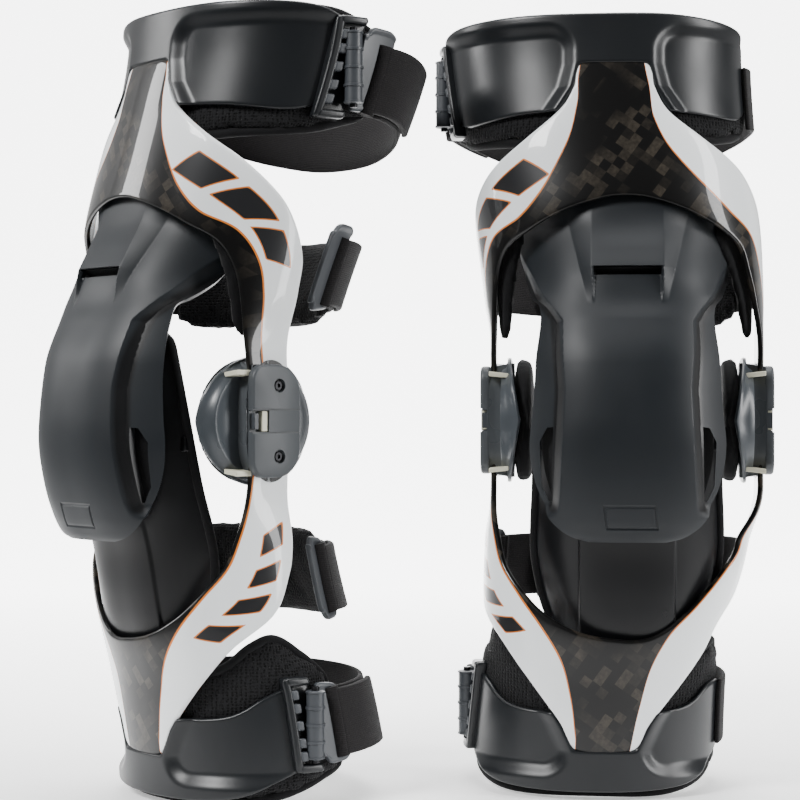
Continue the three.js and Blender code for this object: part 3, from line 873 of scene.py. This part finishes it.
def clip_seat(middle, height):
    """The recess at the end of a cuff that holds the clip's barrel: a floor between two cheeks."""
    low, high = middle - height / 2 + 2.6, middle + height / 2 - 2.6
    floor = band([(a, low - 3, high + 3) for a in (72, 77, 82, 86)], (-3.2, -0.8), 24, 8, corner=0.9)
    cheeks = [band([(a, z, z + 4.4) for a in (73, 77, 81, 85)], (-3.0, 4.4), 24, 3, corner=1.6)
              for z in (low - 4.4, high)]
    back = band([(a, low - 4, high + 4) for a in (71.4, 73.4, 75.2)], (-3.0, 4.2), 6, 8, corner=1.4)
    return merged(floor, *cheeks, back)


def cuffs():
    for body, rows, relief in (("thigh", THIGH_CUFF, panel_relief(THIGH_TONGUE, CUFF_PANEL_TOP, 1)),
                               ("shin", SHIN_CUFF, panel_relief(SHIN_TONGUE, CUFF_PANEL_BOTTOM, -1))):
        moulding = band(rows, CUFF_SKIN, 260, 64, corner=1.4, relief=relief)
        place_on(f"{body}_cuff_moulding", moulding, "cuff", body, "cuff", [f"{body}_cuff"], 60)
    for name, height in SEAT_HEIGHTS.items():
        strap = STRAPS[name]
        seat = clip_seat(strap.clip_middle, height)
        place_on(f"{strap.body}_clip_seat", seat, "cuff", strap.body, "cuff", sharp=45)


def rim_path(points, offset, inset):
    """The border of a band as a closed path at an offset from the leg."""
    angle = np.radians([row[0] for row in points])
    upper = curve_through([(a, row[2] - inset) for a, row in zip(angle, points)])(np.linspace(0, 1, 90))
    lower = curve_through([(a, row[1] + inset) for a, row in zip(angle, points)])(np.linspace(0, 1, 90))
    loop = np.vstack([upper, lower[::-1]])
    closed = np.vstack([loop, loop[:1]])
    reach = np.concatenate([[0], np.cumsum(np.linalg.norm(np.diff(closed, axis=0) * (80, 1), axis=1))])
    even = np.linspace(0, reach[-1], 260, endpoint=False)
    loop = np.column_stack([np.interp(even, reach, closed[:, k]) for k in (0, 1)])
    for _ in range(3):
        loop = (np.roll(loop, 1, 0) + 2 * loop + np.roll(loop, -1, 0)) / 4
    return leg_point(loop[:, 0], loop[:, 1], offset)


def liners():
    for body, rows in (("thigh", THIGH_LINER), ("shin", SHIN_LINER)):
        raised = [(a, low + 2, high - 1.5) for a, low, high in rows]
        core = band(raised, LINER_SKIN, 90, 18, corner=2.4)
        puffed = inflated(core, 4.5, 4.0, 2.2)
        place_on(f"{body}_liner_pad", puffed, "mesh", body, "liner", [f"{body}_liner"], 70)
        edge = tube(rim_path(rows, sum(LINER_SKIN) / 2, 2.6), 2.5, 10, closed=True)
        place_on(f"{body}_liner_binding", edge, "binding", body, "liner", sharp=70)


# ------------------------------ straps and clips


def strap_height(name, degrees):
    """Height of a strap's middle line."""
    strap = STRAPS[name]
    back = np.radians(np.asarray(degrees, float) - 180)
    return strap.height + strap.swing * np.cos(strap.waves * back)


def webbing(name, stop, skin, dip=0.0, width=STRAP_WIDTH, cols=150):
    """A strap from its slot round the back of the leg; dip sinks its start to pass under the clip."""
    start = STRAPS[name].slot
    rows = []
    for degrees in np.linspace(start, stop, 9):
        middle = strap_height(name, degrees)
        rows.append((degrees, middle - width / 2, middle + width / 2))

    def place(angle, z, offset):
        sink = dip * (1 - smoothstep(start, start + 8, np.degrees(angle)))
        return leg_point(angle, z, offset - sink)

    return band(rows, skin, cols, 10, place=place, corner=1.1)


def strap_fold(name):
    """The round fold of the webbing in its slot, with the layers that the ribs follow."""
    slot = STRAPS[name].slot
    z = float(strap_height(name, slot))
    half = STRAP_WIDTH / 2 + 0.2
    points, faces = tube(around(slot - 0.2, np.linspace(z - half, z + half, 12), 3.0), 4.5, 20)
    return points, faces, {"flow_u": points[:, 1], "flow_v": points[:, 2]}


def straps():
    for name, strap in STRAPS.items():
        main = webbing(name, strap.stop, STRAP_SKIN, dip=STRAP_DIP)
        back = webbing(name, strap.slot + FOLD, RETURN_SKIN, width=STRAP_WIDTH - 1, cols=50)
        parts = [("webbing", main, [f"{name}_strap"]), ("return", back, []), ("fold", strap_fold(name), [])]
        for suffix, solid, stands in parts:
            rides = None if strap.clip else strap.body
            made = place_on(f"{name}_strap_{suffix}", solid, "elastic", rides, "strap", stands, 60)
            if strap.clip:
                bend_with_clip(made, name)
            else:
                press_in_hollow(made, name)


def bend_with_clip(pieces, name):
    """Bakes the placement of each piece of a strap whose clip swings into its mesh."""
    strap = STRAPS[name]
    z = float(strap_height(name, strap.slot))
    near, far = around(strap.slot + 2, z, 2), around(strap.slot + 50, z, 2)
    for side, piece in zip(SIDES, pieces):
        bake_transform(piece)


def press_in_hollow(pieces, name):
    """Gives each piece of a strap or pad next to the knee a copy of its own mesh."""
    z = float(strap_height(name, 180))
    start = float(around(STRAPS[name].slot, z, 3)[1])
    reach = float(around(180, z, 4)[1])
    for side, piece in zip(SIDES, pieces):
        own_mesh(piece)


def loop_plate(name):
    """A curved plate with a raised rim and a slot near its end for the strap."""
    strap = STRAPS[name]
    start, stop, height = strap.clip_start, strap.clip_stop, strap.clip_height
    low, high = strap.clip_middle - height / 2, strap.clip_middle + height / 2
    angles = (start, start + 1.4, start + 3.4, (start + stop) / 2, stop - 3, stop)
    rows = [(a, low + cut, high - cut) for a, cut in zip(angles, (3.6, 3.6, 0, 0, 0.8, 3.5))]

    def rim(_degrees, _z, _s, t):
        edge = np.minimum(t, 1 - t) * height
        return 0.7 * (1 - smoothstep(2.2, 3.2, edge))

    plate = band(rows, LOOP_SKIN, 60, 40, corner=1.2, relief=rim)
    half = STRAP_WIDTH / 2 + 0.4
    z = strap_height(name, strap.slot)
    slot = band([(strap.slot + d, z - half, z + half) for d in (-2.0, -0.6, 0.8)], (-6, 12), 8, 4)
    return carved(plate, [slot])


def clip_leaf(name):
    """Fixed leaf between the recess and the barrel, with a window between each two of its rungs."""
    strap = STRAPS[name]
    low = strap.clip_middle - strap.clip_height / 2 + 3
    quarter = (strap.clip_height - 6) / 4
    rungs = [band([(a, low + z, low + z + 5) for a in (74.4, 76, 77.9)], (-1.4, 4.6), 6, 4, corner=0.8)
             for z in (-0.5, quarter - 2.5, 2 * quarter - 2.5, 3 * quarter - 2.5, 4 * quarter - 4.5)]
    return merged(*rungs)


def barrel_axis(name):
    """Middle of a clip's barrel."""
    return around(STRAPS[name].clip_start - 2, STRAPS[name].clip_middle, BARREL_OFFSET)


def ribbed_barrel(name):
    """A barrel of four knuckles, parted by thin raised ribs."""
    axis = barrel_axis(name)
    length = (STRAPS[name].clip_height - 6) / 4
    low = STRAPS[name].clip_middle - 2 * length
    profile = [(4.3, 0), (5.2, 0.5), (5.2, 1.2), (4.7, 1.4)]
    for k in (1, 2, 3):
        rib = k * length
        profile += [(4.7, rib - 0.9), (5.3, rib - 0.6), (5.3, rib + 0.6), (4.7, rib + 0.9)]
    top = 4 * length
    profile += [(4.7, top - 1.4), (5.2, top - 1.2), (5.2, top - 0.5), (4.3, top)]
    rings = [[(axis[0] + r * math.cos(a), axis[1] + r * math.sin(a), low + h)
              for a in np.linspace(0, 2 * math.pi, 40, endpoint=False)] for r, h in profile]
    return loft(np.array(rings))


def clips():
    for name, strap in STRAPS.items():
        body, rides = strap.body, strap.clip or strap.body
        place_on(f"{name}_loop_plate", loop_plate(name), "clip", rides, "clip", [f"{name}_clip"], 45)
        if strap.clip:
            place_on(f"{name}_clip_leaf", clip_leaf(name), "clip", body, "clip", sharp=45)
            place_on(f"{name}_clip_barrel", ribbed_barrel(name), "clip", rides, "clip", sharp=45)
            half = strap.clip_height / 2 - 1
            path = [barrel_axis(name) + (0, 0, h) for h in np.linspace(-half, half, 6)]
            place_on(f"{name}_clip_pin", tube(path, 2.0, 20), "screw", body, "steel")


def back_pads():
    """Mesh pads that cushion the two straps behind the knee."""
    for name in ("lower_thigh", "upper_calf"):
        middle = strap_height(name, 180)
        rows = [(a, middle - h, middle + h) for a, h in BACK_PAD]
        core = band(rows, BACK_PAD_SKIN, 70, 20, corner=3)
        puffed = inflated(core, 4.5, 4.0, 2.0)
        made = place_on(f"{name}_back_pad", puffed, "mesh", STRAPS[name].body, "pad", sharp=70)
        press_in_hollow(made, name)


# ------------------------------ knee cup and shin plate


def bowl_point(rows, u, z):
    """A point on a bowl; u runs from -1 to 1 across it."""
    half, front_y, edge_y = table_at(rows, z)
    return np.stack(np.broadcast_arrays(u * half, front_y + (edge_y - front_y) * np.abs(u) ** 3, z), -1)


def bowl_grid(rows, columns, steps, relief):
    """Outer face of a bowl, every point moved outwards by relief(x, z)."""
    u = np.linspace(-1, 1, columns)
    z = np.linspace(rows[-1, 0], rows[0, 0], steps)
    u, z = np.meshgrid(u, z, indexing="ij")
    grid = bowl_point(rows, u, z)
    return grid + front_normals(grid) * relief(grid[..., 0], grid[..., 2])[..., None]


def crest_face(x, z):
    """0 on the crest, rising to 1 across its sloping face."""
    return linear(0, CREST_FACE, np.abs(x) - np.interp(z, CREST[:, 0], CREST[:, 1]))


def cup_relief(x, z):
    """Depth below the crest: its sloping faces, the hood's ramps and the outline of a plain name plate."""
    dx = np.abs(x)
    side = crest_face(x, z) * smoothstep(151, 158, z) * (1 - smoothstep(292, 302, z))
    hood = 1 - linear(0, 1, (dx - HOOD_HALF) / np.interp(z, (HOOD_FOOT, HOOD_TOP), (2.5, 16)))
    foot = linear(HOOD_FOOT, HOOD_EDGE, z) * linear(HOOD_HALF - 1.4, HOOD_HALF - 0.4, dx)
    hood = hood * np.where(z > HOOD_EDGE, 1.0, foot)
    lowered = smoothstep(232, 268, z) * (1 - smoothstep(306, 320, z))
    plate = np.abs(np.maximum(np.abs(x + 1.5 - (z - 152) * 0.12) - 13, np.abs(z - 152) - 5.8))
    groove = 1 - smoothstep(0.35, 0.8, plate)
    return -CREST_DROP * side - HOOD_DROP * (1 - hood) * lowered - 0.55 * groove


def knee_cup():
    """The cup with its two vents and the slot under its hood."""
    cup = shell(bowl_grid(CUP_ROWS, 241, 260, cup_relief), CUP_WALL)
    cutters = [prism([(side * x, z) for x, z in VENT], -95, -40) for side in (1, -1)]
    half = HOOD_HALF - 1.4
    slot = [(-half, HOOD_EDGE - 4.5), (half, HOOD_EDGE - 4.5), (half, HOOD_EDGE), (-half, HOOD_EDGE)]
    cutters.append(prism(slot, -80, -20))
    points, faces = carved(cup, cutters)
    across, height = crest_face(points[:, 0], points[:, 2]), points[:, 2]
    # the layer face marks the sloping faces that get painted shade and a little more gloss, between these
    # heights
    glossy_shaded_span = smoothstep(153, 157, height) * (1 - smoothstep(286, 294, height))
    layers = {"face": np.clip(np.minimum(across, 1 - across) * 4 * glossy_shaded_span, 0, 1)}
    place_on("cup_moulding", (points, faces, layers), "cup", "cup", "cup", ["knee_cup"], 22)


def cup_lining():
    """Black foam behind the cup, seen through its vents and slot."""
    rows = CUP_ROWS[(CUP_ROWS[:, 0] > 155) & (CUP_ROWS[:, 0] < 300)] * (1, 0.93, 1, 1)
    foam = shell(bowl_grid(rows, 121, 130, lambda x, z: cup_relief(x, z) - LINING_DEPTH), 1.2)
    place_on("cup_lining", foam, "foam", "cup", "pad", sharp=60)


def plate_rim():
    """The soft edge round the sides and top of the shin plate."""
    z = np.linspace(84, 246, 70)
    outer, inner = [bowl_point(PLATE_ROWS, np.full(70, side * 0.99), z) for side in (1, -1)]
    top = bowl_point(PLATE_ROWS, np.linspace(0.99, -0.99, 40), np.full(40, 247.0))
    path = np.vstack([outer, top[1:-1], inner[::-1]]) + (0, 1.4, 0)
    for _ in range(4):
        path[1:-1] = (path[:-2] + 2 * path[1:-1] + path[2:]) / 4
    return tube(path, 2.5, 14)


def shin_plate():
    def creases(x, z):
        inside = 1 - smoothstep(0, 1.6, np.abs(x) - PLATE_CREASE)
        return 1.3 * inside * (1 - smoothstep(140, 175, z)) - 0.6

    moulding = shell(bowl_grid(PLATE_ROWS, 161, 150, creases), PLATE_WALL)
    place_on("shin_plate_moulding", moulding, "plate", "shin", "plate", ["shin_plate"], 40)
    place_on("shin_plate_rim", plate_rim(), "binding", "shin", "liner", sharp=70)
    for name, x in (("outer", 46.5), ("inner", -46.5)):
        buckle = box(x - 2.4, x + 2.4, -37.5, -31, 186, 194)
        place_on(f"plate_buckle_{name}", buckle, "plate", "shin", "plate", bevel=1.0)


def arm_tabs():
    """Soft tabs that hang inside the thigh frame beside the cup."""
    for name, side in (("outer", 1), ("inner", -1)):
        rows = [(side * angle, low, high) for angle, low, high in ARM_TAB][::side]
        tab = band(rows, TAB_SKIN, 40, 24, corner=1.7)
        puffed = inflated(tab, 2.4, 3.0, 0.8)
        place_on(f"arm_tab_{name}", puffed, "foam", "thigh", "pad", sharp=70)


# ------------------------------ hinges


def hinge_cover():
    """The cover with its window, the grooves of its band and its countersinks."""
    outline = rounded_outline(-16, 16, HINGE_Z - 29.5, HINGE_Z + 29.5, (15, 8, 8, 15), 14)
    low, high = COVER_FACE
    levels = [(low, 0.6), (low + 0.6, 0), (high - 1.6, 0), (high - 0.7, 0.3), (high - 0.2, 0.9), (high, 1.8)]
    half = BAND_HALF - 0.4
    cutters = [box(high - 3.6, high + 4, -20, -5.6, HINGE_Z - half, HINGE_Z + half)]
    for rise in (BAND_HALF, -BAND_HALF):
        cutters.append(box(high - 0.9, high + 4, -20, 20, HINGE_Z + rise - 0.45, HINGE_Z + rise + 0.45))
    countersink = [(0.01, high - 2.4), (3.3, high - 2.4), (3.9, high + 1), (0.01, high + 1)]
    cutters += [lathe(countersink, HINGE_Z + rise, SCREW_Y, 32) for rise in SCREWS]
    return carved(outline_loft(outline, levels), cutters)


def screw_head(rise):
    """A countersunk head with a hexagon socket."""
    high = COVER_FACE[1]
    profile = [(0.01, high - 2.9), (2.6, high - 2.9), (2.7, high - 1.5), (2.2, high - 0.9),
               (0.01, high - 0.9)]
    socket = [(0.01, high - 2.0), (1.25, high - 2.0), (1.25, high + 1), (0.01, high + 1)]
    z = HINGE_Z + rise
    return carved(lathe(profile, z, SCREW_Y, 32), [lathe(socket, z, SCREW_Y, 6)])


def hinge_wall():
    """The concave wall in front of the arms, from the pad shell out to the cover."""
    z = np.linspace(-31, 31, 40)
    levels = [(60.5, 0.0, 0), (63, 0.9, 0), (66, 2.0, 0.5), (69, 2.4, 1.2), (72, 2.0, 1.8), (74.6, 1.2, 2.2)]
    rings = []
    for x, hollow, trim in levels:
        front_y = np.minimum(-18.2 + hollow + 6.2 * (z / 31) ** 4, -12.9)
        ring_z = HINGE_Z + z * (31 - trim) / 31
        face = np.column_stack([np.full(40, x), front_y, ring_z])
        back = np.column_stack([np.full(40, x), np.full(40, -12.7), ring_z[::-1]])
        rings.append(np.vstack([face, back]))
    return loft(np.array(rings))


def pad_shell():
    """A dish whose rim dips towards the leg at the front and back, where it comes to a point."""
    turn = np.linspace(0, 2 * math.pi, 120, endpoint=False)
    rim = 57.6 + 6.2 * np.abs(np.cos(turn))
    profile = [(0.01, 66.4), (24, 66.4), (28.6, 67.0), (30.4, 67.6), (31.6, 67.6), (32.4, 66.9),
               (33.2, 0.8 * 66 + 0.2 * rim), (35.4, 0.3 * 66 + 0.7 * rim), (36.6, rim + 1), (37, rim),
               (36.6, rim - 0.9), (35.4, rim - 1.2), (18, 59.4), (0.01, 59.4)]
    rings = [np.column_stack([x + 0 * turn, radius * np.sin(turn), HINGE_Z + 0.93 * radius * np.cos(turn)])
             for radius, x in profile]
    return loft(np.array(rings))


def knee_pad():
    """The cushion behind the dish, thicker above and below the knee."""
    profile = [(0.01, 51.5), (14, 51.2), (28, 51), (32.2, 51.8), (33.6, 53), (33.2, 53.9), (32, 54.3),
               (18, 58.4), (0.01, 58.4)]
    points, faces = lathe(profile, HINGE_Z, 0, 64)
    rise = np.abs(points[:, 2] - HINGE_Z) / 35
    points[:, 0] += 6.2 * rise**1.2 * np.clip((points[:, 0] - 51.5) / 3, 0, 1)
    return points, faces


def hinges():
    pad = inflated(knee_pad(), 2.2, 3.0, 0.6)
    strips = []
    for rise, lean in ((24, -1.2), (-28.5, 1.2)):
        z = HINGE_Z + rise
        outline = [(63.5, z + lean), (63.5, z + 2.6 + lean), (74.2, z + 2.6), (74.2, z)]
        strips.append(prism(outline, -23, -13.2))
    high = COVER_FACE[1]
    tab = box(high - 4.4, high - 0.9, -14.6, -11.8, HINGE_Z - 4.2, HINGE_Z + 4.2)
    pale = box(high - 4.4, high - 0.4, -10, -6.4, HINGE_Z - 5.3, HINGE_Z + 5.3)
    pieces = [  # name, solid, finish, slot, CAD nodes it stands for, bevel
        ("cover_moulding", hinge_cover(), "cover", "cover", ["hinge_cover"], 0.0),
        ("cover_screws", merged(*[screw_head(rise) for rise in SCREWS]), "screw", "steel", [], 0.0),
        ("wall", hinge_wall(), "wall", "shell", [], 0.0),
        ("stop_strips", merged(*strips), "insert", "insert", [], 0.4),
        ("window_tab", tab, "clip", "clip", [], 0.3),
        ("window_insert", pale, "insert", "insert", [], 0.4),
        ("shell_moulding", pad_shell(), "shell", "shell", ["pad_shell"], 0.0),
    ]
    for where in ("outer", "inner"):
        for name, solid, finish, slot, stands, bevel in pieces:
            shape = solid if where == "outer" else mirrored(solid)
            stands = [f"{where}_{node}" for node in stands]
            place_on(f"{where}_{name}", shape, finish, "links", slot, stands, 35, bevel)
        shape = pad if where == "outer" else mirrored(pad)
        place_on(f"{where}_pad_foam", shape, "foam", "links", "pad", [f"{where}_knee_pad"], 70)


# ------------------------------ carried-over nodes, studio and camera


def finish_cad_nodes():
    """The inner works stay the CAD's own pieces."""
    for name, node in frame["nodes"].items():
        if name.endswith("_stop_insert"):
            finish = FINISHES["cad_insert"]
        elif name.endswith(("_hinge_link", "_pivot")):
            finish = FINISHES["steel"]
        else:
            continue
        node.data.materials.clear()
        node.data.materials.append(finish)


def area_light(name, location, target, size, power):
    lamp = bpy.data.lights.new(name, "AREA")
    lamp.shape = "RECTANGLE"
    lamp.size, lamp.size_y = size
    lamp.energy = power
    item = linked(name, lamp)
    item.location = location
    item.rotation_euler = (Vector(target) - Vector(location)).to_track_quat("-Z", "Y").to_euler()


def paper():
    """White paper, dim in front and at the sides and glowing towards the back."""
    finish = Finish("paper", PAPER, 0.85)
    split = finish.add("SeparateXYZ", {0: finish.add("TexCoord").outputs["Object"]})
    depth = split.outputs["Y"]
    sideways = finish.math("ABSOLUTE", split.outputs["X"])
    aside = finish.spread(finish.math("SUBTRACT", sideways, finish.times(depth, 0.2)), 0.7, 0.3)
    pale = finish.times(finish.spread(depth, -0.4, -0.08), aside)
    finish.color(finish.mix(pale, PAPER_IN_FRONT, PAPER))
    finish.surface.inputs["Emission Color"].default_value = (1, 1, 1, 1)
    glow = finish.times(finish.spread(depth, -0.1, 1.1, 0.25, 4.2), finish.spread(aside, 0, 1, 0.15, 1))
    finish.feed(finish.surface.inputs["Emission Strength"], glow)
    return finish.material


def sweep():
    """The floor, running up into a back wall."""
    r = SWEEP_RADIUS
    profile = [(-0.5, 0.0), (r, 0.0)]
    profile += [(r + math.sin(a) * r, r - math.cos(a) * r) for a in np.linspace(0.1, math.pi / 2, 14)]
    profile.append((2 * r, 5.0))
    points = [(x, y, z - 0.0005) for x in (-6, 6) for y, z in profile]
    n = len(profile)
    mesh = mesh_from("sweep", points, [(i, n + i, n + i + 1, i + 1) for i in range(n - 1)])
    mesh.shade_smooth()
    mesh.materials.append(paper())
    linked("sweep", mesh)


def studio():
    sweep()
    world = bpy.data.worlds.new("studio")
    world.use_nodes = True
    background = world.node_tree.nodes["Background"]
    background.inputs["Color"].default_value = (1.0, 1.0, 1.0, 1)
    background.inputs["Strength"].default_value = 0.1
    bpy.context.scene.world = world
    for name, settings in LIGHTS.items():
        area_light(name, *settings)


def camera():
    lens = bpy.data.cameras.new("camera")
    lens.lens = LENS
    lens.sensor_width = 36
    item = linked("camera", lens)
    item.location = CAMERA
    item.rotation_euler = (math.pi / 2, 0, 0)
    bpy.context.scene.camera = item


frames()
cuffs()
liners()
straps()
clips()
back_pads()
knee_cup()
cup_lining()
shin_plate()
arm_tabs()
hinges()
finish_cad_nodes()
studio()
camera()
